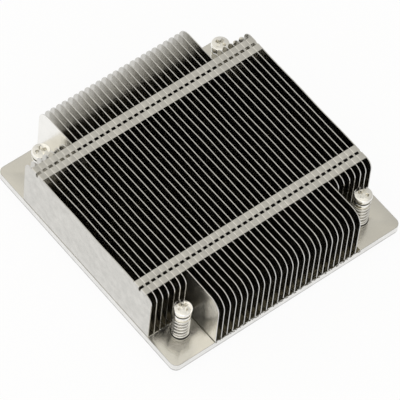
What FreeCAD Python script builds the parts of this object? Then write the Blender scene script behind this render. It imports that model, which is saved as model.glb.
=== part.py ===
import FreeCAD, Part
import math
import os

# Passive processor heatsink, one rack unit high, in millimetres.
# X runs across the fin stack, Y along the fins and Z up. The origin is the
# centre of the base plate's underside, the face that lies on the processor.

Vec = FreeCAD.Vector
UP = Vec(0, 0, 1)

# Base plate
plate_length = 95.0
plate_width = 95.0
plate_thickness = 3.0
plate_corner_radius = 2.5

# Mounting screws, one near each corner of the plate
screw_edge_distance = 10.0
head_diameter = 6.5
head_height = 1.9
head_gap_to_fins = 1.05
recess_span = 3.2
recess_slot_width = 0.8
recess_depth = 1.2
recess_taper = 0.55
collar_diameter = 5.9
collar_length = 2.9
shank_diameter = 3.5
shank_clearance = 0.08
thread_diameter = 3.0
thread_reach = 3.4

# Retaining clip in the screw's groove, sunk in a counterbore of the plate
clip_diameter = 6.0
clip_thickness = 0.6
clip_groove_diameter = 2.5
clip_bore_clearance = 0.05
clip_groove_play = 0.05
clip_mouth_width = 2.1
counterbore_clearance = 0.6
counterbore_depth = 1.5

# Coil spring between the plate and the screw's collar
spring_length = 9.75
spring_end_gap = 0.05
spring_coil_diameter = 6.0
spring_wire = 0.65
spring_turns = 6.0
spring_closed_turns = 0.75
spring_wire_sides = 4
spring_steps_per_turn = 8

# Fin stack
fin_count = 40
short_fins_each_side = 7
sheet = 0.4
fin_height = 21.3
fold_facet = 0.4
stack_margin_left = 0.1
stack_margin_right = 1.3
fin_end_margin = 0.1
flange_gap = 0.06
full_corner_radius = 5.0
short_corner_radius = 3.0
corner_steps = 3

# Lock strips across the top of the stack, one near each end of the fins
strip_width = 6.1
strip_end_land = 0.1
slot_width = 1.05
slot_reach = 1.56

# Places that follow from the sizes above
screw_x = plate_length / 2 - screw_edge_distance
screw_y = plate_width / 2 - screw_edge_distance
fin_pitch = (plate_length - stack_margin_left - stack_margin_right) / fin_count
flange_reach = fin_pitch - flange_gap
full_half_length = plate_width / 2 - fin_end_margin
short_half_length = screw_y - head_diameter / 2 - head_gap_to_fins
strip_outer = short_half_length - short_corner_radius - strip_end_land
strip_centre = strip_outer - strip_width / 2
collar_bottom = plate_thickness + spring_length + spring_end_gap
head_bottom = collar_bottom + collar_length
screw_corners = [(side_x, side_y) for side_y in (-1, 1) for side_x in (-1, 1)]


def save(shape, name):
    shape.exportStep("parts/" + name + ".step")


def box(x, y, z):
    """A block between two limits on each axis."""
    corner = Vec(x[0], y[0], z[0])
    return Part.makeBox(x[1] - x[0], y[1] - y[0], z[1] - z[0], corner)


def cylinder(diameter, bottom, top, centre=(0, 0)):
    return Part.makeCylinder(diameter / 2, top - bottom, Vec(centre[0], centre[1], bottom))


def flat_face(corners):
    return Part.Face(Part.makePolygon(corners + corners[:1]))


def prism(corners, along):
    """A straight-sided outline pushed along a vector."""
    return flat_face(corners).extrude(along)


def make_base_plate():
    """Flat plate with rounded corners and a stepped hole for each screw."""
    half_x = plate_length / 2
    half_y = plate_width / 2
    plate = box((-half_x, half_x), (-half_y, half_y), (0, plate_thickness))
    upright = [edge for edge in plate.Edges if abs(edge.tangentAt(edge.FirstParameter).z) > 0.5]
    plate = plate.makeFillet(plate_corner_radius, upright)
    for side_x, side_y in screw_corners:
        centre = (side_x * screw_x, side_y * screw_y)
        hole = cylinder(shank_diameter + 2 * shank_clearance, 0, plate_thickness, centre)
        counterbore = cylinder(clip_diameter + 2 * counterbore_clearance, 0, counterbore_depth, centre)
        plate = plate.cut(hole).cut(counterbore)
    return plate


def wall_outline(half_length, corner_radius):
    """The flat of a fin seen from the side, with its two top corners rounded in short steps."""
    radius = min(corner_radius, fin_height / 2)
    corners = [Vec(0, half_length, 0), Vec(0, -half_length, 0)]
    for side, first_angle in ((-1, 180.0), (1, 90.0)):
        for step in range(corner_steps + 1):
            angle = math.radians(first_angle - 90.0 * step / corner_steps)
            y = side * (half_length - radius) + radius * math.cos(angle)
            z = fin_height - radius + radius * math.sin(angle)
            corners.append(Vec(0, y, z))
    return corners


def fold_cut(y_from, y_to, edge_z, inward):
    """The wedge taken off the outside of a fold that runs along Y."""
    corners = [
        Vec(0, y_from, edge_z),
        Vec(fold_facet, y_from, edge_z),
        Vec(0, y_from, edge_z + inward * fold_facet),
    ]
    return prism(corners, Vec(0, y_to - y_from, 0))


def make_fin(half_length, corner_radius, has_top_flanges):
    """One folded sheet: wall, foot flange, and two slotted flanges at the top.

    The wall's outer face is at X = 0 and its foot at Z = 0. Every flange is
    folded towards +X and ends just short of the next fin.
    """
    fin = prism(wall_outline(half_length, corner_radius), Vec(sheet, 0, 0))
    foot = box((0, flange_reach), (-half_length, half_length), (0, sheet))
    fin = fin.fuse(foot)
    cuts = [fold_cut(-half_length, half_length, 0, 1)]
    for side in (-1, 1):
        near, far = sorted((side * (strip_outer - strip_width), side * strip_outer))
        if has_top_flanges:
            flange = box((0, flange_reach), (near, far), (fin_height - sheet, fin_height))
            fin = fin.fuse(flange)
            cuts.append(fold_cut(near, far, fin_height, -1))
        middle = side * strip_centre
        slot_y = (middle - slot_width / 2, middle + slot_width / 2)
        cuts.append(box((0, slot_reach), slot_y, (fin_height - sheet, fin_height)))
    for cut in cuts:
        fin = fin.cut(cut)
    return fin.removeSplitter()


def fin_is_short(index):
    """Fins beside the screws stop short, which leaves a pocket at each corner."""
    return index < short_fins_each_side or index >= fin_count - short_fins_each_side


def make_fins():
    """The whole stack, from the left edge of the plate to the right."""
    fins = []
    for index in range(fin_count):
        left_face = -plate_length / 2 + stack_margin_left + index * fin_pitch
        half_length = full_half_length
        corner_radius = full_corner_radius
        if fin_is_short(index):
            half_length = short_half_length
            corner_radius = short_corner_radius
        fin = make_fin(half_length, corner_radius, index < fin_count - 1)
        fin.translate(Vec(left_face, 0, plate_thickness))
        fins.append(fin)
    return fins


def tapered_bar(length, width, top, depth):
    """One arm pair of the driver recess, narrower at the bottom than at the top."""
    wires = []
    for scale, z in ((1.0, top), (recess_taper, top - depth)):
        half_l = length / 2 * scale
        half_w = width / 2 * scale
        corners = [
            Vec(-half_l, -half_w, z),
            Vec(half_l, -half_w, z),
            Vec(half_l, half_w, z),
            Vec(-half_l, half_w, z),
        ]
        wires.append(Part.makePolygon(corners + corners[:1]))
    return Part.makeLoft(wires, True, True)


def make_screw():
    """Shoulder screw with a cross recess in its head, standing on the Z axis."""
    head_top = head_bottom + head_height
    groove_top = counterbore_depth + clip_groove_play
    groove_bottom = counterbore_depth - clip_thickness - clip_groove_play
    profile = [
        (0, head_top),
        (head_diameter / 2, head_top),
        (head_diameter / 2, head_bottom),
        (collar_diameter / 2, head_bottom),
        (collar_diameter / 2, collar_bottom),
        (shank_diameter / 2, collar_bottom),
        (shank_diameter / 2, groove_top),
        (clip_groove_diameter / 2, groove_top),
        (clip_groove_diameter / 2, groove_bottom),
        (thread_diameter / 2, groove_bottom),
        (thread_diameter / 2, -thread_reach),
        (0, -thread_reach),
    ]
    corners = [Vec(radius, 0, z) for radius, z in profile]
    screw = flat_face(corners).revolve(Vec(0, 0, 0), UP, 360)
    arm = tapered_bar(recess_span, recess_slot_width, head_top, recess_depth)
    cross_arm = arm.copy()
    cross_arm.rotate(Vec(0, 0, 0), UP, 90)
    return screw.cut(arm.fuse(cross_arm))


def make_clip():
    """Flat spring clip that snaps into the screw's groove through its open mouth."""
    height = (counterbore_depth - clip_thickness, counterbore_depth)
    bore_radius = clip_groove_diameter / 2 + clip_bore_clearance
    clip = cylinder(clip_diameter, *height)
    clip = clip.cut(cylinder(2 * bore_radius, *height))
    mouth_half = clip_mouth_width / 2
    clip = clip.cut(box((-mouth_half, mouth_half), (-clip_diameter, 0), height))
    return clip


def spring_height(turn):
    """Height of the wire's centre above the lowest one, with a closed coil at each end."""
    rise = spring_length - spring_wire
    closed_rise = spring_wire * spring_closed_turns
    active_turns = spring_turns - 2 * spring_closed_turns
    if turn <= spring_closed_turns:
        return spring_wire * turn
    if turn >= spring_turns - spring_closed_turns:
        return rise - spring_wire * (spring_turns - turn)
    active_pitch = (rise - 2 * closed_rise) / active_turns
    return closed_rise + active_pitch * (turn - spring_closed_turns)


def wire_section(turn):
    """Corners of the wire's section at a point along the coil, counted in turns."""
    outward = Vec(math.cos(2 * math.pi * turn), math.sin(2 * math.pi * turn), 0)
    coil_radius = (spring_coil_diameter - spring_wire) / 2
    height = plate_thickness + spring_wire / 2 + spring_height(turn)
    centre = outward * coil_radius + UP * height
    corners = []
    for side in range(spring_wire_sides):
        angle = 2 * math.pi * (side + 0.5) / spring_wire_sides - math.pi / 2
        offset = outward * math.cos(angle) + UP * math.sin(angle)
        corners.append(centre + offset * (spring_wire / 2))
    return corners


def make_spring():
    """Compression spring standing on the plate, coiled in short steps with a many-sided wire."""
    steps = round(spring_turns * spring_steps_per_turn)
    sections = [wire_section(step / spring_steps_per_turn) for step in range(steps + 1)]
    faces = [flat_face(sections[0]), flat_face(sections[-1])]
    for near, far in zip(sections, sections[1:]):
        for side in range(spring_wire_sides):
            after = (side + 1) % spring_wire_sides
            faces.append(flat_face([near[side], near[after], far[side]]))
            faces.append(flat_face([near[after], far[after], far[side]]))
    skin = Part.makeShell(faces)
    skin.sewShape()
    spring = Part.makeSolid(skin)
    if spring.Volume < 0:
        spring.reverse()
    return spring


def place_at_corners(shape, name):
    """One copy of a piece at each screw, numbered from the front left."""
    for number, (side_x, side_y) in enumerate(screw_corners, start=1):
        piece = shape.copy()
        piece.translate(Vec(side_x * screw_x, side_y * screw_y, 0))
        save(piece, name + "_" + str(number))


save(make_base_plate(), "base_plate")
for number, fin in enumerate(make_fins(), start=1):
    save(fin, "fin_" + str(number).zfill(2))
place_at_corners(make_screw(), "screw")
place_at_corners(make_clip(), "screw_clip")
place_at_corners(make_spring(), "screw_spring")
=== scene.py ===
import math
import random

import bmesh
import bpy
from mathutils import Matrix, Vector


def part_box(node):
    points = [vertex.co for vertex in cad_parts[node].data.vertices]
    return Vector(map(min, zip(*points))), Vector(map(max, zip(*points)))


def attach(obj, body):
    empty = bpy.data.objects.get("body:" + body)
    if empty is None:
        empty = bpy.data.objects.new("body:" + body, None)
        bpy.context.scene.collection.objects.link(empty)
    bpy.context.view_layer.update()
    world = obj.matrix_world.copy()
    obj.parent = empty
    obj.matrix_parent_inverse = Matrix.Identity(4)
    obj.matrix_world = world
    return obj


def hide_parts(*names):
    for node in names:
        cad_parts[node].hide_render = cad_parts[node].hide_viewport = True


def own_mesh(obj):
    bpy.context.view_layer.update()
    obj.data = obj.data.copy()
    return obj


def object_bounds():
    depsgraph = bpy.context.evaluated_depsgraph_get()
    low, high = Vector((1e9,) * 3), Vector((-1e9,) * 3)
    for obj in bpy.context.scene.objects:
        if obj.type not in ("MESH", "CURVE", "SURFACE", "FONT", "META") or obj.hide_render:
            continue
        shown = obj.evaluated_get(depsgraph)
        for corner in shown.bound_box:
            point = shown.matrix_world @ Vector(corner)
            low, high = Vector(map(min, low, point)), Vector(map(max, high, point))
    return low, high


# Passive processor heatsink. Sizes are in millimetres and angles in degrees where nothing else is said.
# The frame itself is in metres. An edge that bends by less than a piece's SHARP angle is smoothed.

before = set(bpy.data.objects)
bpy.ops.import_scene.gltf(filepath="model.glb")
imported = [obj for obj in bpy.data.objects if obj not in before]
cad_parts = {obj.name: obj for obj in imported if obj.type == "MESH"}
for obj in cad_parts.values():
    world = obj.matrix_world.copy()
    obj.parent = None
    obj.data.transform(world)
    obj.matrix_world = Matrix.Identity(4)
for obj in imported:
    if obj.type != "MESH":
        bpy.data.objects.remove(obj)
cad_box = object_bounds()

MM = 0.001
MERGE_WITHIN = 0.001

# What lies further than this from the middle is at the plate's edge
EDGE_FROM = 45.0

# Folded sheet of the fins, whose top flanges dip and tuck under the fin that follows; BEND is the
# outer radius of a fold
SHEET = 0.32
BEND = 0.42
FLANGE_TUCK = 0.2
FLANGE_DIP = 0.1
FOOT_GAP = 0.03
FULL_CORNER = 5.0
SHORT_CORNER = 3.0
FIN_SHARP = 35.0

# Slotted strips across the top of the fins
STRIP_OUTER = 30.1
STRIP_WIDTH = 6.1
STRIP_INNER = STRIP_OUTER - STRIP_WIDTH
STRIP_LAND = 1.2
SLOT_WIDTH = 1.05
SLOT_REACH = 1.62
SLOT_NOTCH = 1.1
RELIEF = 0.12

# Fineness of a fin's mesh
BEND_STEPS = 4
WALL_ROWS = 6
INNER_STEPS = 6
OUTER_STEPS = 4
CORNER_STEPS = 8
LEAST_STRAIGHT = 0.5
LEAST_COLUMN = 0.02

# How far the thin walls wander sideways
FIN_BOW = 0.11
FIN_WAVE = 0.09
FIN_LEAN = 0.16
LEAN_POWER = 1.5

# Painted light on the faces that the first and last full fins turn to the pockets, towards -X or +X, and
# painted shade on the foot flanges of all fins
POCKET_FROM = 30.0
POCKET_FINS = {8: -1, 33: 1}
FOOT_SHADE_HEIGHT = 0.6
FIN_FACING = 0.7

# Base plate, with painted shade on its broken edges and painted contact shadow low on its sides
EDGE_BREAK = 0.22
EDGE_BREAK_STEPS = 3
RIM_ANGLE = 50.0
SAME_PLANE_ANGLE = 1.0
SHADOW_LINE_HEIGHT = 0.62
LEVEL_FACING = 0.98
UPRIGHT_FACING = 0.3
PLATE_SHARP = 40.0

# Solder and flux at the fins' feet, with sizes and shares as lowest and highest values
SOLDER_SEED = 7
BEADS_PER_END = 2
SPECKS_PER_END = 4
SHORT_BEAD = (0.08, 0.14)
FULL_BEAD = (0.1, 0.28)
FULL_BEAD_OUT = (-0.3, 0.02)
FULL_BEAD_RISE = 0.3
SPECK = (0.14, 0.3)
SPECK_OUT = (0.0, 0.12)
SPECK_RISE = (-0.5, 0.3)
BEAD_INSET = 0.4
BEAD_LENGTH = (1.0, 2.2)
BEAD_WIDTH = (0.7, 1.2)
BEAD_HEIGHT = 0.6
BEAD_TURN_RADIANS = 0.5
BEAD_FINENESS = 2
BEAD_SHARP = 60.0
BEAD_LIMIT = 47.6
WOBBLE = 0.03
WOBBLE_ALONG = 9.0
WOBBLE_UP = 7.0
# Painted shadow, as a row of dark drops along the foot of each pocket fin
FOOT_LINE_FROM = 33.4
FOOT_LINE_END_GAP = 0.4
FOOT_LINE_PITCH = 0.5
FOOT_LINE_DROP = (0.13, 0.19)
FOOT_LINE_STRETCH = (0.8, 3.4, 0.8, 1)
FOOT_LINE_RISE = 0.04

# Heads of the screws, which stand a little above their solids; heights are above the plate's underside
TURNED_SIDES = 64
ROUND_STEPS = 3
HEAD_RADIUS = 3.2
HEAD_FOOT = 15.72
HEAD_FOOT_ROUND = 0.12
HEAD_EDGE = 0.5
HEAD_EDGE_STEPS = 5
HEAD_RISE = 0.28
HEAD_TOP_OVER_SOLID = 0.1
DOME_STEPS = 9
RECESS_SPAN = 3.9
RECESS_WIDTH = 1.3
RECESS_DEPTH = 1.5
RECESS_TAPER = 0.62
RECESS_FLARE = 1.06
RECESS_LIP = 0.1
CUTTER_ABOVE_HEAD = 1.0

# How far each screw's recess is turned
SCREW_TURNS = {1: 8.0, 2: 31.0, 3: -14.0, 4: 22.0}
SCREW_SHARP = 30.0

# Neck, collar, shank and thread of the screws
NECK_RADIUS = 2.95
NECK_HEIGHT = 1.0
# The neck's upright faces, all but a margin under the head, carry painted shadow
NECK_MARGIN = 0.05
NECK_FACING = 0.2
COLLAR_RADIUS = 3.0
COLLAR_TOP_ROUND = 0.15
COLLAR_FOOT_ROUND = 0.1
SPRING_GAP = 0.05
SHANK_RADIUS = 1.75
GROOVE_RADIUS = 1.25
GROOVE_BOTTOM = 0.85
GROOVE_TOP = 1.55
THREAD_RADIUS = 1.5
THREAD_MINOR = 1.23
THREAD_PITCH = 0.5
RINGS_PER_PITCH = 6
THREAD_RINGS_TOP = 0.3
THREAD_END_TAPER = 0.3
THREAD_END_MARGIN = 0.05
THREAD_START = 0.25
THREAD_FADE = 0.4
THREAD_SKIN = 0.01

# Springs, and the ring of painted shadow under each
WIRE_RADIUS = 0.38
WIRE_SIDES = 12
COIL_RADIUS = 2.62
COIL_TURNS = 6.0
CLOSED_TURNS = 0.75
COIL_STEPS = 28
COIL_START = 40
COIL_START_STEP = 70
SPRING_SHARP = 50.0
# Ring of painted shadow at each spring's foot
SHADOW_RING_RADIUS = 3.15
SHADOW_RING_BORE = 2.1
SHADOW_RING_THICKNESS = 0.12
SHADOW_RING_ROUND = 0.05
SHADOW_RING_SHARP = 35.0

# Surface of the metals
RED_PER_WARMTH = 0.35
CLOUD_DETAIL = 6.0
CLOUD_ROUGHNESS = 0.6
GRAIN_DETAIL = 4.0
GRAIN_DEPTH = 0.02
NOISE_LOW = 0.3
NOISE_HIGH = 0.7

# Camera at the photograph's viewing angle, its clipping distances in metres
CAMERA_AIM = (-4.8, -5.5, 12.0)
CAMERA_DISTANCE = 1311.9
CAMERA_AZIMUTH = 43.93
CAMERA_ELEVATION = 55.38
CAMERA_ROLL = 6.78
CAMERA_LENS = 361.9
SENSOR_WIDTH = 36.0
CAMERA_NEAR = 0.05
CAMERA_FAR = 20.0

# Studio round the part, in metres and watts
WHITE = (1, 1, 1, 1)
SKY_SLOPE = (-0.4, 0.0, -0.16)
SKY_BRIGHTEST = 1.12
SKY_WARMTH = 0.09
FLOOR_HALF_SIZE = 3.0
FLOOR_COLOUR = (0.9, 0.9, 0.9, 1)
FLOOR_CAMERA_SHARE = 0.92
FLOOR_MIRROR_SHARE = 0.8
LAMPS = {
    "overhead": {"place": (-0.1, -0.1, 1.2), "size": 1.2, "power": 0.7},
    "front": {"place": (-0.9, -0.9, 1.0), "size": 1.1, "power": 1.7},
}


def to_metres(points):
    return [Vector(point) * MM for point in points]


def node_box(name):
    """A node's lowest and highest corners in millimetres."""
    low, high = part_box(name)
    return Vector(low) / MM, Vector(high) / MM


def fin_node(number):
    return "fin_" + str(number).zfill(2)


def screw_centre(number):
    """The middle of a screw's box, which lies on its axis."""
    low, high = node_box("screw_" + str(number))
    return (low + high) / 2


FIN_NUMBERS = sorted(int(name.removeprefix("fin_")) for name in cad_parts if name.startswith("fin_"))
SCREW_NUMBERS = (1, 2, 3, 4)
PLATE_TOP = node_box("base_plate")[1].z


# Materials

def new_material(name):
    material = bpy.data.materials.new(name)
    material.use_nodes = True
    return material, material.node_tree.nodes, material.node_tree.links


def add_node(nodes, kind, values, operation=None):
    """A new node with its inputs set by name or number."""
    node = nodes.new(kind)
    if operation:
        node.operation = operation
    for socket, value in values.items():
        node.inputs[socket].default_value = value
    return node


def ramp(nodes, start, end):
    """A colour ramp between two (place, colour) stops."""
    node = nodes.new("ShaderNodeValToRGB")
    for element, stop in zip(node.color_ramp.elements, (start, end)):
        element.position, element.color = stop
    return node


def grey(value, warmth=0.0):
    """A grey that leans to beige as warmth grows."""
    return (value * (1 + RED_PER_WARMTH * warmth), value, value * (1 - warmth), 1)


def metal(name, dark, light, warmth, rough, clouds, grain, bump):
    """Plated or bare metal: cloudy colour, uneven gloss and a fine directional grain.

    The colour drifts from dark to light in clouds. Roughness and bump follow the grain.
    """
    material, nodes, links = new_material(name)
    shader = nodes["Principled BSDF"]
    shader.inputs["Metallic"].default_value = 1.0
    where = nodes.new("ShaderNodeTexCoord")
    cloud_values = {"Scale": clouds, "Detail": CLOUD_DETAIL, "Roughness": CLOUD_ROUGHNESS}
    cloud = add_node(nodes, "ShaderNodeTexNoise", cloud_values)
    links.new(where.outputs["Object"], cloud.inputs["Vector"])
    tint = ramp(nodes, (NOISE_LOW, grey(dark, warmth)), (NOISE_HIGH, grey(light, warmth)))
    links.new(cloud.outputs["Fac"], tint.inputs["Fac"])
    links.new(tint.outputs["Color"], shader.inputs["Base Color"])
    stretch = add_node(nodes, "ShaderNodeMapping", {"Scale": grain})
    links.new(where.outputs["Object"], stretch.inputs["Vector"])
    streaks = add_node(nodes, "ShaderNodeTexNoise", {"Scale": 1.0, "Detail": GRAIN_DETAIL})
    links.new(stretch.outputs["Vector"], streaks.inputs["Vector"])
    gloss_values = {"From Min": NOISE_LOW, "From Max": NOISE_HIGH, "To Min": rough[0], "To Max": rough[1]}
    gloss = add_node(nodes, "ShaderNodeMapRange", gloss_values)
    links.new(streaks.outputs["Fac"], gloss.inputs["Value"])
    links.new(gloss.outputs["Result"], shader.inputs["Roughness"])
    relief = add_node(nodes, "ShaderNodeBump", {"Strength": bump, "Distance": GRAIN_DEPTH * MM})
    links.new(streaks.outputs["Fac"], relief.inputs["Height"])
    links.new(relief.outputs["Normal"], shader.inputs["Normal"])
    return material


fin_metal = metal(
    "fin_nickel", dark=0.55, light=0.67, warmth=0.05, rough=(0.13, 0.21),
    clouds=350.0, grain=(2600.0, 900.0, 2600.0), bump=0.14,
)
cut_metal = metal(
    "cut_sheet_edge", dark=0.58, light=0.74, warmth=0.03, rough=(0.18, 0.28),
    clouds=500.0, grain=(1500.0, 1500.0, 1500.0), bump=0.2,
)
# Painted light: brighter metal for the pocket faces of the outer full fins
pocket_painted_light = metal(
    "pocket_nickel", dark=0.89, light=0.95, warmth=0.03, rough=(0.19, 0.26),
    clouds=200.0, grain=(400.0, 400.0, 5000.0), bump=0.08,
)
plate_metal = metal(
    "plate_nickel", dark=0.66, light=0.71, warmth=0.07, rough=(0.18, 0.25),
    clouds=90.0, grain=(1500.0, 1500.0, 1500.0), bump=0.06,
)
edge_metal = metal(
    "plate_edge", dark=0.78, light=0.87, warmth=0.02, rough=(0.25, 0.35),
    clouds=300.0, grain=(900.0, 900.0, 3000.0), bump=0.2,
)
# Painted shade: a dark line on the plate's broken edges
rim_painted_shade = metal(
    "plate_rim_painted_shade", dark=0.22, light=0.34, warmth=0.02, rough=(0.3, 0.4),
    clouds=300.0, grain=(900.0, 900.0, 900.0), bump=0.2,
)
# Painted contact shadow low on the plate's sides
plate_painted_shadow = metal(
    "plate_painted_contact_shadow", dark=0.46, light=0.6, warmth=0.02, rough=(0.3, 0.4),
    clouds=300.0, grain=(900.0, 900.0, 900.0), bump=0.2,
)
screw_metal = metal(
    "screw_plating", dark=0.78, light=0.98, warmth=0.04, rough=(0.05, 0.12),
    clouds=500.0, grain=(900.0, 900.0, 3000.0), bump=0.15,
)
spring_metal = metal(
    "spring_wire", dark=0.57, light=0.72, warmth=0.05, rough=(0.14, 0.26),
    clouds=400.0, grain=(1200.0, 1200.0, 1200.0), bump=0.3,
)
clip_metal = metal(
    "clip_steel", dark=0.26, light=0.36, warmth=0.02, rough=(0.3, 0.42),
    clouds=300.0, grain=(900.0, 900.0, 900.0), bump=0.5,
)
# Painted shadow, on the neck under each screw head and as the ring under each spring
shadow_metal = metal(
    "painted_shadow_ring", dark=0.02, light=0.05, warmth=0.02, rough=(0.4, 0.55),
    clouds=900.0, grain=(900.0, 900.0, 900.0), bump=0.4,
)
solder_metal = metal(
    "solder", dark=0.5, light=0.72, warmth=0.01, rough=(0.2, 0.45),
    clouds=900.0, grain=(1200.0, 1200.0, 1200.0), bump=0.8,
)
# Painted shade at the foot of the gaps between the fins
foot_painted_shade = metal(
    "fluxed_foot", dark=0.1, light=0.24, warmth=0.3, rough=(0.3, 0.5),
    clouds=900.0, grain=(900.0, 900.0, 900.0), bump=0.5,
)
# Dark flux specks, and painted shadow along the pocket fins' feet
flux_and_shadow_metal = metal(
    "flux_and_painted_shadow", dark=0.06, light=0.2, warmth=0.25, rough=(0.4, 0.6),
    clouds=1500.0, grain=(1500.0, 1500.0, 1500.0), bump=0.8,
)


# Shared mesh helpers

def mesh_from(work, name):
    """Ends the work on a mesh and gives it its name."""
    mesh = bpy.data.meshes.new(name)
    work.to_mesh(mesh)
    work.free()
    return mesh


def finished_piece(name, mesh, material, sharp_angle):
    """Puts a mesh into the scene as a smooth-shaded piece with one material."""
    mesh.materials.clear()
    mesh.materials.append(material)
    for polygon in mesh.polygons:
        polygon.use_smooth = True
    mesh.set_sharp_from_angle(angle=math.radians(sharp_angle))
    piece = bpy.data.objects.new(name, mesh)
    bpy.context.scene.collection.objects.link(piece)
    return piece


def apply_modifiers(piece):
    """Gives the piece the mesh that its modifiers make."""
    bpy.context.view_layer.update()
    solved = piece.evaluated_get(bpy.context.evaluated_depsgraph_get())
    mesh = bpy.data.meshes.new_from_object(solved)
    old = piece.data
    piece.modifiers.clear()
    piece.data = mesh
    bpy.data.meshes.remove(old)


def merge_near_points(work):
    """Joins points that lie closer together than any real detail."""
    bmesh.ops.remove_doubles(work, verts=work.verts, dist=MERGE_WITHIN * MM)


def dress(piece, node, body):
    """The piece stands for a node and moves with its body."""
    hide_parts(node)
    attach(piece, body)


# Fins

def fin_columns(half, corner):
    """Places along a fin where its mesh has points, and the kind of each stretch between them."""
    slot_middle = STRIP_OUTER - STRIP_WIDTH / 2
    outer = STRIP_OUTER + RELIEF
    straight = half - corner
    stretches = [(STRIP_INNER * step / INNER_STEPS, "free") for step in range(1, INNER_STEPS)]
    stretches += [
        (STRIP_INNER - RELIEF, "free"),
        (STRIP_INNER, "relief"),
        (STRIP_INNER + STRIP_LAND, "strip"),
        (slot_middle - SLOT_WIDTH / 2, "strip"),
        (slot_middle + SLOT_WIDTH / 2, "slot"),
        (STRIP_OUTER - STRIP_LAND, "strip"),
        (STRIP_OUTER, "strip"),
        (outer, "relief"),
    ]
    if straight > outer + LEAST_STRAIGHT:
        for step in range(1, OUTER_STEPS + 1):
            stretches.append((outer + (straight - outer) * step / OUTER_STEPS, "free"))
    for step in range(1, CORNER_STEPS + 1):
        y = straight + corner * math.sin(math.radians(90 * step / CORNER_STEPS))
        if y > stretches[-1][0] + LEAST_COLUMN:
            stretches.append((y, "free"))
    places = [-y for y, kind in reversed(stretches)] + [0.0] + [y for y, kind in stretches]
    kinds = [kind for y, kind in reversed(stretches)] + [kind for y, kind in stretches]
    return places, kinds


class FinSheet:
    """The middle surface of one folded fin, gathered point by point."""

    def __init__(self, number, low, high, corner):
        self.low = low
        self.height = high.z - low.z
        self.half = high.y
        self.reach = high.x - low.x
        self.corner = corner
        self.places, self.kinds = fin_columns(self.half, corner)
        spread = random.Random(number)
        self.bow = spread.uniform(-FIN_BOW, FIN_BOW)
        self.wave = spread.uniform(-FIN_WAVE, FIN_WAVE)
        self.leans = [spread.uniform(-FIN_LEAN, FIN_LEAN) for end in range(2)]
        self.points = []
        self.faces = []
        self.known = {}

    def lean(self, y, z):
        """How far the thin wall wanders sideways, nothing at the foot and at the strips."""
        rise = max(0.0, z / self.height)
        if abs(y) < STRIP_INNER:
            bow = self.bow * math.cos(math.pi * y / (2 * STRIP_INNER))
            return (bow + self.wave * math.sin(2 * math.pi * y / STRIP_INNER)) * rise
        if abs(y) <= STRIP_OUTER:
            return 0.0
        out = (abs(y) - STRIP_OUTER) / (self.half - STRIP_OUTER)
        return self.leans[0 if y < 0 else 1] * out ** LEAN_POWER * rise

    def top(self, y):
        """Height of the wall's upper edge, lower in the rounded corners."""
        past = abs(y) - (self.half - self.corner)
        if past <= 0:
            return self.height
        past = min(past, self.corner)
        return self.height - self.corner + math.sqrt(self.corner ** 2 - past ** 2)

    def point(self, column, x, z, tag):
        """The index of a tagged point of the section at this column, made when first asked for."""
        key = (column, tag)
        if key not in self.known:
            y = self.places[column]
            start = SHEET / 2 + BEND
            if z > start:
                z = start + (z - start) * (self.top(y) - start) / (self.height - start)
            self.known[key] = len(self.points)
            self.points.append((self.low.x + x + self.lean(y, z), y, self.low.z + z))
        return self.known[key]

    def add_faces(self, column, path):
        """Faces over one column, along a path of ((x, z), tag) points of the section."""
        for (near, near_tag), (far, far_tag) in zip(path, path[1:]):
            self.faces.append([
                self.point(column, *near, near_tag),
                self.point(column + 1, *near, near_tag),
                self.point(column + 1, *far, far_tag),
                self.point(column, *far, far_tag),
            ])


def bend_points(centre_x, centre_z, from_angle, to_angle):
    """The middle line of a fold, as (x, z) points."""
    middle = BEND - SHEET / 2
    points = []
    for step in range(BEND_STEPS + 1):
        angle = math.radians(from_angle + (to_angle - from_angle) * step / BEND_STEPS)
        points.append((centre_x + middle * math.cos(angle), centre_z + middle * math.sin(angle)))
    return points


def tagged(points, name):
    """Each point with a tag, by which the faces of neighbouring columns share it."""
    return [(point, (name, index)) for index, point in enumerate(points)]


def fin_section(fin):
    """Paths of the fin's section: foot flange with wall, the wall's free top, and the top flange."""
    middle = SHEET / 2
    flange_z = fin.height - middle
    wall_high = fin.height - BEND
    notch_z = wall_high - SLOT_NOTCH
    lower = [(fin.reach - FOOT_GAP, middle)] + bend_points(BEND, BEND, 270, 180)
    for row in range(1, WALL_ROWS + 1):
        lower.append((middle, BEND + (notch_z - BEND) * row / WALL_ROWS))
    lower.append((middle, wall_high))
    flange = bend_points(BEND, wall_high, 180, 90)[1:]
    flange.append((SLOT_REACH, flange_z - FLANGE_DIP / 2))
    flange.append((fin.reach + FLANGE_TUCK, flange_z - FLANGE_DIP))
    return tagged(lower, "lower"), tagged([(middle, fin.height)], "free"), tagged(flange, "flange")


def make_fin(number, low, high, corner, flanged):
    """One fin as a folded sheet: foot flange, wall, and slotted flanges at the two strips."""
    fin = FinSheet(number, low, high, corner)
    lower, free_top, flange = fin_section(fin)
    for column, kind in enumerate(fin.kinds):
        fin.add_faces(column, lower[:-1] if kind == "slot" else lower)
        if kind == "free" or (kind in ("strip", "relief") and not flanged):
            fin.add_faces(column, lower[-1:] + free_top)
        if kind == "strip" and flanged:
            fin.add_faces(column, lower[-1:] + flange)
        if kind == "slot" and flanged:
            fin.add_faces(column, flange[-2:])
    mesh = bpy.data.meshes.new("fin_sheet")
    mesh.from_pydata(to_metres(fin.points), [], fin.faces)
    piece = finished_piece("fin_sheet_" + str(number).zfill(2), mesh, fin_metal, FIN_SHARP)
    piece.data.materials.append(cut_metal)
    thick = piece.modifiers.new("thickness", "SOLIDIFY")
    thick.thickness = SHEET * MM
    thick.offset = 0.0
    thick.use_even_offset = True
    thick.material_offset_rim = 1
    apply_modifiers(piece)
    piece.data.set_sharp_from_angle(angle=math.radians(FIN_SHARP))
    return piece


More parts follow.
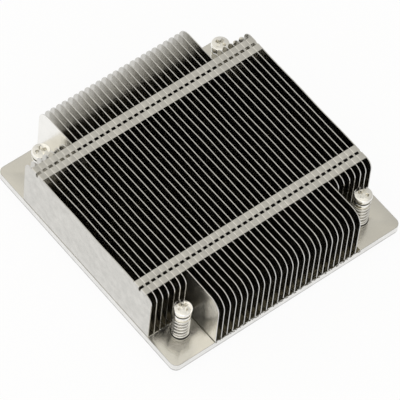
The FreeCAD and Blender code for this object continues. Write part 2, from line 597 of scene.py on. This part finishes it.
def brighten_pocket_faces(mesh, side):
    """Painted light: the brighter face that a full fin turns to the pockets beside it."""
    lit_index = len(mesh.materials)
    mesh.materials.append(pocket_painted_light)
    for polygon in mesh.polygons:
        past_short_fins = abs(polygon.center.y) / MM > POCKET_FROM
        if past_short_fins and polygon.normal.x * side > FIN_FACING:
            polygon.material_index = lit_index


def stain_foot(mesh):
    """Painted shade, dark brown, on the upper side of the foot flange, between the walls."""
    shade_index = len(mesh.materials)
    mesh.materials.append(foot_painted_shade)
    for polygon in mesh.polygons:
        if polygon.normal.z > FIN_FACING and polygon.center.z / MM < PLATE_TOP + FOOT_SHADE_HEIGHT:
            polygon.material_index = shade_index


def add_fins():
    """The whole stack. The last fin has none behind it, so it has no top flanges and no painted shade
    between.
    """
    for number in FIN_NUMBERS:
        node = fin_node(number)
        low, high = node_box(node)
        corner = FULL_CORNER if high.y > EDGE_FROM else SHORT_CORNER
        has_next = number < FIN_NUMBERS[-1]
        piece = make_fin(number, low, high, corner, has_next)
        if number in POCKET_FINS:
            # Painted light on the face turned to the pocket
            brighten_pocket_faces(piece.data, POCKET_FINS[number])
        if has_next:
            # Painted shade on the foot flange
            stain_foot(piece.data)
        dress(piece, node, "heatsink")


# Base plate

def add_plate():
    """The solid's own plate, edges broken with painted shade, and painted contact shadow below a cut low
    on its sides.
    """
    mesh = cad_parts["base_plate"].data.copy()
    work = bmesh.new()
    work.from_mesh(mesh)
    merge_near_points(work)
    flat = math.radians(SAME_PLANE_ANGLE)
    bmesh.ops.dissolve_limit(work, angle_limit=flat, verts=work.verts, edges=work.edges)
    bent = math.radians(RIM_ANGLE)
    rims = [edge for edge in work.edges if edge.is_manifold and edge.calc_face_angle() > bent]
    bmesh.ops.bevel(
        work, geom=rims, offset=EDGE_BREAK * MM, segments=EDGE_BREAK_STEPS,
        profile=0.5, affect="EDGES", clamp_overlap=True,
    )
    everything = work.verts[:] + work.edges[:] + work.faces[:]
    bmesh.ops.bisect_plane(work, geom=everything, plane_co=(0, 0, SHADOW_LINE_HEIGHT * MM), plane_no=(0, 0, 1))
    work.to_mesh(mesh)
    work.free()
    piece = finished_piece("plate_body", mesh, plate_metal, PLATE_SHARP)
    plate_materials = [plate_metal, edge_metal, rim_painted_shade, plate_painted_shadow]
    for material in plate_materials[1:]:
        mesh.materials.append(material)
    for polygon in mesh.polygons:
        outward = max(abs(polygon.center.x), abs(polygon.center.y)) / MM > EDGE_FROM
        if not outward or abs(polygon.normal.z) > LEVEL_FACING:
            continue
        if polygon.center.z < SHADOW_LINE_HEIGHT * MM:
            # Painted contact shadow below the cut line
            polygon.material_index = plate_materials.index(plate_painted_shadow)
        elif abs(polygon.normal.z) < UPRIGHT_FACING:
            polygon.material_index = plate_materials.index(edge_metal)
        else:
            # Painted shade on the sloped faces of the broken edges
            polygon.material_index = plate_materials.index(rim_painted_shade)
    dress(piece, "base_plate", "heatsink")


# Screws

def arc(centre_r, centre_z, radius, from_angle, to_angle, steps):
    """Points of a round in a turned profile, as (radius, height)."""
    points = []
    for step in range(steps + 1):
        angle = math.radians(from_angle + (to_angle - from_angle) * step / steps)
        points.append((centre_r + radius * math.cos(angle), centre_z + radius * math.sin(angle)))
    return points


def turned_mesh(name, profile):
    """A closed body turned about Z from (radius, height) points, first and last on the axis."""
    work = bmesh.new()
    rings = []
    for radius, z in profile:
        if radius == 0:
            rings.append([work.verts.new((0, 0, z * MM))])
            continue
        ring = []
        for side in range(TURNED_SIDES):
            angle = 2 * math.pi * side / TURNED_SIDES
            x = radius * math.cos(angle) * MM
            y = radius * math.sin(angle) * MM
            ring.append(work.verts.new((x, y, z * MM)))
        rings.append(ring)
    for upper, lower in zip(rings, rings[1:]):
        for side in range(TURNED_SIDES):
            after = (side + 1) % TURNED_SIDES
            corners = []
            for ring, index in ((upper, side), (lower, side), (lower, after), (upper, after)):
                corner = ring[index % len(ring)]
                if corner not in corners:
                    corners.append(corner)
            work.faces.new(corners)
    bmesh.ops.recalc_face_normals(work, faces=work.faces)
    return mesh_from(work, name)


def screw_profile(high, collar_bottom):
    """Head, neck, collar, shank and clip groove, from the top down."""
    rim_top = high.z + HEAD_TOP_OVER_SOLID - HEAD_RISE
    face_radius = HEAD_RADIUS - HEAD_EDGE
    neck_bottom = HEAD_FOOT - NECK_HEIGHT
    profile = []
    for step in range(DOME_STEPS):
        radius = face_radius * step / DOME_STEPS
        profile.append((radius, rim_top + HEAD_RISE * (1 - (radius / face_radius) ** 2)))
    profile += arc(face_radius, rim_top - HEAD_EDGE, HEAD_EDGE, 90, 0, HEAD_EDGE_STEPS)
    centre_r = HEAD_RADIUS - HEAD_FOOT_ROUND
    profile += arc(centre_r, HEAD_FOOT + HEAD_FOOT_ROUND, HEAD_FOOT_ROUND, 0, -90, ROUND_STEPS)
    profile += [(NECK_RADIUS, HEAD_FOOT), (NECK_RADIUS, neck_bottom)]
    centre_r = COLLAR_RADIUS - COLLAR_TOP_ROUND
    profile += arc(centre_r, neck_bottom - COLLAR_TOP_ROUND, COLLAR_TOP_ROUND, 90, 0, ROUND_STEPS)
    centre_r = COLLAR_RADIUS - COLLAR_FOOT_ROUND
    profile += arc(centre_r, collar_bottom + COLLAR_FOOT_ROUND, COLLAR_FOOT_ROUND, 0, -90, ROUND_STEPS)
    profile += [(SHANK_RADIUS, collar_bottom), (SHANK_RADIUS, GROOVE_TOP), (GROOVE_RADIUS, GROOVE_TOP)]
    profile += [(GROOVE_RADIUS, GROOVE_BOTTOM), (THREAD_RADIUS, GROOVE_BOTTOM)]
    return profile


def thread_profile(low):
    """Closely spaced rings of the threaded end and its tapered tip, from the top down."""
    profile = [(THREAD_RADIUS, THREAD_RINGS_TOP)]
    z = THREAD_RINGS_TOP
    step = THREAD_PITCH / RINGS_PER_PITCH
    while z - step > low.z + THREAD_END_TAPER:
        z -= step
        profile.append((THREAD_RADIUS, z))
    profile += [(THREAD_MINOR, low.z), (0, low.z)]
    return profile


def lay_thread(mesh, low):
    """Pulls the threaded end's skin in along one helix."""
    for vertex in mesh.vertices:
        z = vertex.co.z / MM
        radius = math.hypot(vertex.co.x, vertex.co.y) / MM
        inside = radius < THREAD_RADIUS - THREAD_SKIN
        if inside or z > THREAD_START or z < low.z + THREAD_END_MARGIN:
            continue
        angle = math.atan2(vertex.co.y, vertex.co.x) / (2 * math.pi)
        phase = (z / THREAD_PITCH - angle) % 1.0
        depth = 1 - abs(2 * phase - 1)
        fade = min(1.0, (THREAD_START - z) / THREAD_FADE)
        wanted = THREAD_RADIUS - (THREAD_RADIUS - THREAD_MINOR) * depth * fade
        vertex.co.x *= wanted / radius
        vertex.co.y *= wanted / radius


def recess_cutter(top):
    """A tapered cross that leaves the driver recess in a head whose top is at this height."""
    levels = (
        (RECESS_FLARE, top + CUTTER_ABOVE_HEAD),
        (1.0, top - RECESS_LIP),
        (RECESS_TAPER, top - RECESS_DEPTH),
    )
    work = bmesh.new()
    rings = []
    for share, z in levels:
        arm = RECESS_SPAN / 2 * share
        half = RECESS_WIDTH / 2 * share
        ring = []
        for turn in (0, 90, 180, 270):
            for x, y in ((arm, -half), (arm, half), (half, half)):
                place = Matrix.Rotation(math.radians(turn), 3, "Z") @ Vector((x, y, z))
                ring.append(work.verts.new(place * MM))
        rings.append(ring)
    for upper, lower in zip(rings, rings[1:]):
        for side in range(len(upper)):
            after = (side + 1) % len(upper)
            work.faces.new([upper[side], lower[side], lower[after], upper[after]])
    work.faces.new(rings[0])
    work.faces.new(list(reversed(rings[-1])))
    bmesh.ops.recalc_face_normals(work, faces=work.faces)
    cutter = bpy.data.objects.new("driver_tip", mesh_from(work, "driver_tip"))
    bpy.context.scene.collection.objects.link(cutter)
    return cutter


def cut_recess(piece, cutter):
    """Takes the cutter's shape out of the piece and cleans the seam that it leaves."""
    cut = piece.modifiers.new("recess", "BOOLEAN")
    cut.operation = "DIFFERENCE"
    cut.solver = "EXACT"
    cut.object = cutter
    apply_modifiers(piece)
    work = bmesh.new()
    work.from_mesh(piece.data)
    merge_near_points(work)
    bmesh.ops.dissolve_degenerate(work, edges=work.edges, dist=MERGE_WITHIN * MM)
    work.to_mesh(piece.data)
    work.free()


def blacken_neck(mesh):
    """Gives the ring under the head a dark painted shadow."""
    neck_shadow_index = len(mesh.materials)
    mesh.materials.append(shadow_metal)
    for polygon in mesh.polygons:
        z = polygon.center.z / MM
        in_neck = HEAD_FOOT - NECK_HEIGHT < z < HEAD_FOOT - NECK_MARGIN
        if in_neck and abs(polygon.normal.z) < NECK_FACING:
            polygon.material_index = neck_shadow_index


def add_screws():
    """One turned screw, copied to each corner with its recess cut and turned."""
    low, high = node_box("screw_1")
    collar_bottom = node_box("screw_spring_1")[1].z + SPRING_GAP
    master = turned_mesh("screw_body", screw_profile(high, collar_bottom) + thread_profile(low))
    lay_thread(master, low)
    cutter = recess_cutter(high.z + HEAD_TOP_OVER_SOLID)
    for number in SCREW_NUMBERS:
        node = "screw_" + str(number)
        centre = screw_centre(number)
        piece = finished_piece("screw_body_" + str(number), master.copy(), screw_metal, SCREW_SHARP)
        cut_recess(piece, cutter)
        piece.data.transform(Matrix.Rotation(math.radians(SCREW_TURNS[number]), 4, "Z"))
        piece.data.transform(Matrix.Translation((centre.x * MM, centre.y * MM, 0)))
        piece.data.set_sharp_from_angle(angle=math.radians(SCREW_SHARP))
        # Painted shadow on the neck under the head
        blacken_neck(piece.data)
        dress(piece, node, node)
    bpy.data.objects.remove(cutter)
    bpy.data.meshes.remove(master)


def add_clips():
    """The clips keep their solids and get a darker steel."""
    for number in SCREW_NUMBERS:
        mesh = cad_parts["screw_clip_" + str(number)].data
        mesh.materials.clear()
        mesh.materials.append(clip_metal)


# Springs

def coil_height(turn, rise):
    """Height of the wire's centre after so many turns, with a closed coil at each end."""
    closed = 2 * WIRE_RADIUS * CLOSED_TURNS
    if turn <= CLOSED_TURNS:
        return 2 * WIRE_RADIUS * turn
    if turn >= COIL_TURNS - CLOSED_TURNS:
        return rise - 2 * WIRE_RADIUS * (COIL_TURNS - turn)
    pitch = (rise - 2 * closed) / (COIL_TURNS - 2 * CLOSED_TURNS)
    return closed + pitch * (turn - CLOSED_TURNS)


def make_spring(number, centre, bottom, top):
    """Round wire wound in a helix, closed at both ends."""
    rise = top - bottom - 2 * WIRE_RADIUS
    steps = round(COIL_TURNS * COIL_STEPS)
    start = math.radians(COIL_START + COIL_START_STEP * number)
    points = []
    for step in range(steps + 1):
        turn = step / COIL_STEPS
        angle = start + 2 * math.pi * turn
        outward = Vector((math.cos(angle), math.sin(angle), 0))
        on_axis = Vector((centre.x, centre.y, bottom + WIRE_RADIUS + coil_height(turn, rise)))
        middle = on_axis + outward * COIL_RADIUS
        for side in range(WIRE_SIDES):
            around = 2 * math.pi * side / WIRE_SIDES
            offset = outward * math.cos(around) + Vector((0, 0, 1)) * math.sin(around)
            points.append(middle + offset * WIRE_RADIUS)
    faces = []
    for step in range(steps):
        for side in range(WIRE_SIDES):
            after = (side + 1) % WIRE_SIDES
            near = step * WIRE_SIDES
            far = near + WIRE_SIDES
            faces.append((near + side, near + after, far + after, far + side))
    faces.append(tuple(reversed(range(WIRE_SIDES))))
    faces.append(tuple(range(steps * WIRE_SIDES, (steps + 1) * WIRE_SIDES)))
    mesh = bpy.data.meshes.new("spring_coil")
    mesh.from_pydata(to_metres(points), [], faces)
    return finished_piece("spring_coil_" + str(number), mesh, spring_metal, SPRING_SHARP)


def add_springs():
    """A coil under each screw's collar, wound from the plate up to the top of the spring's solid."""
    for number in SCREW_NUMBERS:
        node = "screw_spring_" + str(number)
        centre = screw_centre(number)
        bottom = PLATE_TOP
        top = node_box(node)[1].z
        piece = make_spring(number, centre, bottom, top)
        dress(piece, node, "heatsink")
        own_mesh(piece)


def seat_ring(number):
    """A thin ring of painted shadow between the spring's foot and the plate."""
    centre = screw_centre(number)
    top = PLATE_TOP + SHADOW_RING_THICKNESS
    profile = (
        (SHADOW_RING_BORE, PLATE_TOP),
        (SHADOW_RING_BORE, top),
        (SHADOW_RING_RADIUS - SHADOW_RING_ROUND, top),
        (SHADOW_RING_RADIUS, top - SHADOW_RING_ROUND),
        (SHADOW_RING_RADIUS, PLATE_TOP),
    )
    work = bmesh.new()
    rings = []
    for radius, z in profile:
        ring = []
        for side in range(TURNED_SIDES):
            angle = 2 * math.pi * side / TURNED_SIDES
            place = (centre.x + radius * math.cos(angle), centre.y + radius * math.sin(angle), z)
            ring.append(work.verts.new(Vector(place) * MM))
        rings.append(ring)
    for near, far in zip(rings, rings[1:] + rings[:1]):
        for side in range(TURNED_SIDES):
            after = (side + 1) % TURNED_SIDES
            work.faces.new([near[side], near[after], far[after], far[side]])
    bmesh.ops.recalc_face_normals(work, faces=work.faces)
    mesh = mesh_from(work, "spring_painted_shadow")
    piece = finished_piece("spring_painted_shadow_" + str(number), mesh, shadow_metal, SHADOW_RING_SHARP)
    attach(piece, "heatsink")


def add_seats():
    for number in SCREW_NUMBERS:
        seat_ring(number)


# Solder and flux

def add_drop(work, place, turn, stretch, size):
    """One ball of the given size, stretched, turned and put in its place."""
    shape = Matrix.Translation(Vector(place) * MM) @ turn @ Matrix.Diagonal(stretch)
    bmesh.ops.create_icosphere(work, subdivisions=BEAD_FINENESS, radius=size * MM, matrix=shape)


def bead(work, spread, place, size):
    """One small flattened drop."""
    stretch = (spread.uniform(*BEAD_LENGTH), spread.uniform(*BEAD_WIDTH), BEAD_HEIGHT, 1)
    turn = Matrix.Rotation(spread.uniform(-BEAD_TURN_RADIANS, BEAD_TURN_RADIANS), 4, "Z")
    add_drop(work, place, turn, stretch, size)


def end_beads(solder, flux, spread, low, high, end):
    """Drops where one end of a fin's foot meets the plate; a full fin has more, and flux with them."""
    if abs(end) < EDGE_FROM:
        size = spread.uniform(*SHORT_BEAD)
        x = spread.uniform(low.x + BEAD_INSET, high.x)
        bead(solder, spread, (x, end, PLATE_TOP), size)
        return
    for drop in range(BEADS_PER_END):
        size = spread.uniform(*FULL_BEAD)
        y = end + math.copysign(spread.uniform(*FULL_BEAD_OUT), end)
        x = spread.uniform(low.x + BEAD_INSET, high.x)
        bead(solder, spread, (x, y, PLATE_TOP + size * FULL_BEAD_RISE), size)
    for drop in range(SPECKS_PER_END):
        size = spread.uniform(*SPECK)
        y = end + math.copysign(spread.uniform(*SPECK_OUT), end)
        x = spread.uniform(low.x, high.x)
        bead(flux, spread, (x, y, PLATE_TOP + spread.uniform(*SPECK_RISE)), size)


def foot_line(work, spread, number, side):
    """A thin dark run of painted shadow along the foot of a full fin where a pocket opens."""
    low, high = node_box(fin_node(number))
    x = low.x if side < 0 else high.x
    for end in (-1, 1):
        y = FOOT_LINE_FROM
        while y < high.y - FOOT_LINE_END_GAP:
            size = spread.uniform(*FOOT_LINE_DROP)
            place = (x, end * y, PLATE_TOP + FOOT_LINE_RISE)
            add_drop(work, place, Matrix.Identity(4), FOOT_LINE_STRETCH, size)
            y += FOOT_LINE_PITCH


def finish_beads(work, name, material):
    """Makes the drops uneven and cuts them off close to the plate's edge, as one piece of the heatsink."""
    mesh = mesh_from(work, name)
    for vertex in mesh.vertices:
        wave = vertex.co.y / MM * WOBBLE_ALONG + vertex.co.z / MM * WOBBLE_UP
        vertex.co.x += WOBBLE * MM * math.sin(wave)
        vertex.co.y = max(-BEAD_LIMIT * MM, min(BEAD_LIMIT * MM, vertex.co.y))
    piece = finished_piece(name, mesh, material, BEAD_SHARP)
    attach(piece, "heatsink")


def add_solder():
    """Small beads of solder and flux where the fins' feet end on the plate, and painted shadow by the
    pocket fins.
    """
    spread = random.Random(SOLDER_SEED)
    solder = bmesh.new()
    flux = bmesh.new()
    for number in FIN_NUMBERS:
        low, high = node_box(fin_node(number))
        for end in (low.y, high.y):
            end_beads(solder, flux, spread, low, high, end)
    for number, side in POCKET_FINS.items():
        # Painted shadow along the feet of the pocket fins
        foot_line(flux, spread, number, side)
    finish_beads(solder, "solder_beads", solder_metal)
    finish_beads(flux, "flux_specks_and_foot_shadow", flux_and_shadow_metal)


# Floor, light and camera

def white_where_seen(name, colour, camera_share, mirror_share):
    """A pale matt surface that looks whiter to the camera and in reflections, and keeps shadows."""
    material, nodes, links = new_material(name)
    nodes.remove(nodes["Principled BSDF"])
    matt = add_node(nodes, "ShaderNodeBsdfDiffuse", {"Color": colour})
    glow = add_node(nodes, "ShaderNodeEmission", {"Color": WHITE, "Strength": 1.0})
    path = nodes.new("ShaderNodeLightPath")
    mirrored = add_node(nodes, "ShaderNodeMath", {1: mirror_share}, "MULTIPLY")
    links.new(path.outputs["Is Glossy Ray"], mirrored.inputs[0])
    share = add_node(nodes, "ShaderNodeMath", {1: camera_share}, "MULTIPLY_ADD")
    links.new(path.outputs["Is Camera Ray"], share.inputs[0])
    links.new(mirrored.outputs["Value"], share.inputs[2])
    blend = nodes.new("ShaderNodeMixShader")
    links.new(share.outputs["Value"], blend.inputs["Fac"])
    links.new(matt.outputs["BSDF"], blend.inputs[1])
    links.new(glow.outputs["Emission"], blend.inputs[2])
    links.new(blend.outputs["Shader"], nodes["Material Output"].inputs["Surface"])
    return material


def add_floor():
    """A pale floor level with the lowest point of the part."""
    floor_z = cad_box[0][2]
    half = FLOOR_HALF_SIZE
    corners = [(x, y, floor_z) for x, y in ((-half, -half), (half, -half), (half, half), (-half, half))]
    mesh = bpy.data.meshes.new("floor")
    mesh.from_pydata(corners, [], [(0, 1, 2, 3)])
    white = white_where_seen("floor_white", FLOOR_COLOUR, FLOOR_CAMERA_SHARE, FLOOR_MIRROR_SHARE)
    mesh.materials.append(white)
    floor = bpy.data.objects.new("floor", mesh)
    bpy.context.scene.collection.objects.link(floor)


def add_world():
    """A soft sky, brighter on one side and warmer overhead, that the camera itself sees as white."""
    world = bpy.data.worlds.new("studio")
    bpy.context.scene.world = world
    world.use_nodes = True
    nodes = world.node_tree.nodes
    links = world.node_tree.links
    sky = nodes["Background"]
    direction = nodes.new("ShaderNodeTexCoord")
    slope = add_node(nodes, "ShaderNodeVectorMath", {1: SKY_SLOPE}, "DOT_PRODUCT")
    links.new(direction.outputs["Generated"], slope.inputs[0])
    level = add_node(nodes, "ShaderNodeMath", {1: 1.0}, "ADD")
    links.new(slope.outputs["Value"], level.inputs[0])
    limit = add_node(nodes, "ShaderNodeMath", {1: SKY_BRIGHTEST}, "MINIMUM")
    links.new(level.outputs["Value"], limit.inputs[0])
    links.new(limit.outputs["Value"], sky.inputs["Strength"])
    parts = nodes.new("ShaderNodeSeparateXYZ")
    links.new(direction.outputs["Generated"], parts.inputs["Vector"])
    tint = ramp(nodes, (0.0, grey(1.0)), (1.0, grey(1.0, SKY_WARMTH)))
    links.new(parts.outputs["Z"], tint.inputs["Fac"])
    links.new(tint.outputs["Color"], sky.inputs["Color"])
    seen = add_node(nodes, "ShaderNodeBackground", {"Color": WHITE, "Strength": 1.0})
    path = nodes.new("ShaderNodeLightPath")
    blend = nodes.new("ShaderNodeMixShader")
    links.new(path.outputs["Is Camera Ray"], blend.inputs["Fac"])
    links.new(sky.outputs["Background"], blend.inputs[1])
    links.new(seen.outputs["Background"], blend.inputs[2])
    links.new(blend.outputs["Shader"], nodes["World Output"].inputs["Surface"])


def add_lights():
    """Large square lamps, all aimed at the origin."""
    for name, lamp in LAMPS.items():
        data = bpy.data.lights.new(name, "AREA")
        data.shape = "SQUARE"
        data.size = lamp["size"]
        data.energy = lamp["power"]
        light = bpy.data.objects.new(name, data)
        light.location = lamp["place"]
        towards = -Vector(lamp["place"])
        light.rotation_euler = towards.to_track_quat("-Z", "Y").to_euler()
        bpy.context.scene.collection.objects.link(light)


def add_camera():
    """A long lens far from the part, aimed and rolled as in the photograph."""
    azimuth = math.radians(CAMERA_AZIMUTH)
    elevation = math.radians(CAMERA_ELEVATION)
    roll = math.radians(CAMERA_ROLL)
    forward = Vector((
        math.sin(azimuth) * math.cos(elevation),
        math.cos(azimuth) * math.cos(elevation),
        -math.sin(elevation),
    ))
    level = forward.cross(Vector((0, 0, 1))).normalized()
    upright = level.cross(forward)
    right = level * math.cos(roll) + upright * math.sin(roll)
    up = upright * math.cos(roll) - level * math.sin(roll)
    data = bpy.data.cameras.new("camera")
    data.sensor_fit = "HORIZONTAL"
    data.sensor_width = SENSOR_WIDTH
    data.lens = CAMERA_LENS
    data.clip_start = CAMERA_NEAR
    data.clip_end = CAMERA_FAR
    camera = bpy.data.objects.new("camera", data)
    place = (Vector(CAMERA_AIM) - forward * CAMERA_DISTANCE) * MM
    turn = Matrix((right, up, -forward)).transposed().to_4x4()
    camera.matrix_world = Matrix.Translation(place) @ turn
    bpy.context.scene.collection.objects.link(camera)
    bpy.context.scene.camera = camera


add_plate()
add_fins()
add_screws()
add_springs()
add_seats()
add_clips()
add_solder()
add_floor()
add_world()
add_lights()
add_camera()
bpy.context.scene.view_settings.view_transform = "Standard"
